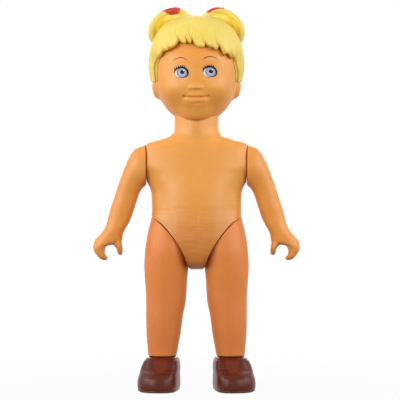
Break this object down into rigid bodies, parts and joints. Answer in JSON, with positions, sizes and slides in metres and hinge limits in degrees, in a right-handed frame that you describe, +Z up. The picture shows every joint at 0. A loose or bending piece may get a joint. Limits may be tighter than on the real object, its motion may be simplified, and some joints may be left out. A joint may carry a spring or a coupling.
{
  "type": "block toy figure",
  "caption": "Articulated plastic doll of a block toy family, with turning head, swinging arms with C-shaped gripping hands, turning legs, moulded hair and shoes.",
  "frame": {"origin": "on the floor below the centre of the standing doll, midway between its sides and between its front and back", "axes": "+Z up through the standing doll, the face and toes towards -Y, the doll's own left side towards +X"},
  "size_m": [0.1126, 0.0489, 0.2096],
  "materials": {
    "skin": "satin moulded plastic, warm tan",
    "leg_skin": "satin moulded plastic, a little deeper than the torso",
    "hair": "satin moulded plastic, pale yellow with lock grooves",
    "tie": "red painted band",
    "shoe": "glossy brown plastic",
    "inner_plastic": "plain white plastic, hidden inside",
    "ring_rubber": "dark friction washer, hidden inside"
  },
  "bodies": {
    "torso": {"torso_front": "skin", "torso_back": "skin", "neck_stud": "inner_plastic", "neck_ring": "ring_rubber", "shoulder_ring_left": "ring_rubber", "shoulder_ring_right": "ring_rubber", "hip_ring_left": "ring_rubber", "hip_ring_right": "ring_rubber"},
    "head": {"head_shell": "skin", "hair": "hair", "hair_tie_left": "tie", "hair_tie_right": "tie"},
    "arm_left": {"arm_left": "skin"},
    "arm_right": {"arm_right": "skin"},
    "leg_left": {"leg_left": "leg_skin", "shoe_left": "shoe", "hip_stud_left": "inner_plastic"},
    "leg_right": {"leg_right": "leg_skin", "shoe_right": "shoe", "hip_stud_right": "inner_plastic"}
  },
  "joints": [
    {"name": "head_turn", "type": "hinge", "parent": "torso", "child": "head", "pos_m": [0, 0, 0.1504], "axis": [0, 0, 1], "continuous": true},
    {"name": "shoulder_left", "type": "hinge", "parent": "torso", "child": "arm_left", "pos_m": [0.0273, 0, 0.1227], "axis": [-1, 0, 0], "continuous": true},
    {"name": "shoulder_right", "type": "hinge", "parent": "torso", "child": "arm_right", "pos_m": [-0.0273, 0, 0.1227], "axis": [-1, 0, 0], "continuous": true},
    {"name": "hip_left", "type": "hinge", "parent": "torso", "child": "leg_left", "pos_m": [0.0139, 0, 0.0792], "axis": [-0.8171, 0, 0.5764], "range_deg": [-30, 90]},
    {"name": "hip_right", "type": "hinge", "parent": "torso", "child": "leg_right", "pos_m": [-0.0139, 0, 0.0792], "axis": [-0.8171, 0, -0.5764], "range_deg": [-30, 90]}
  ]
}
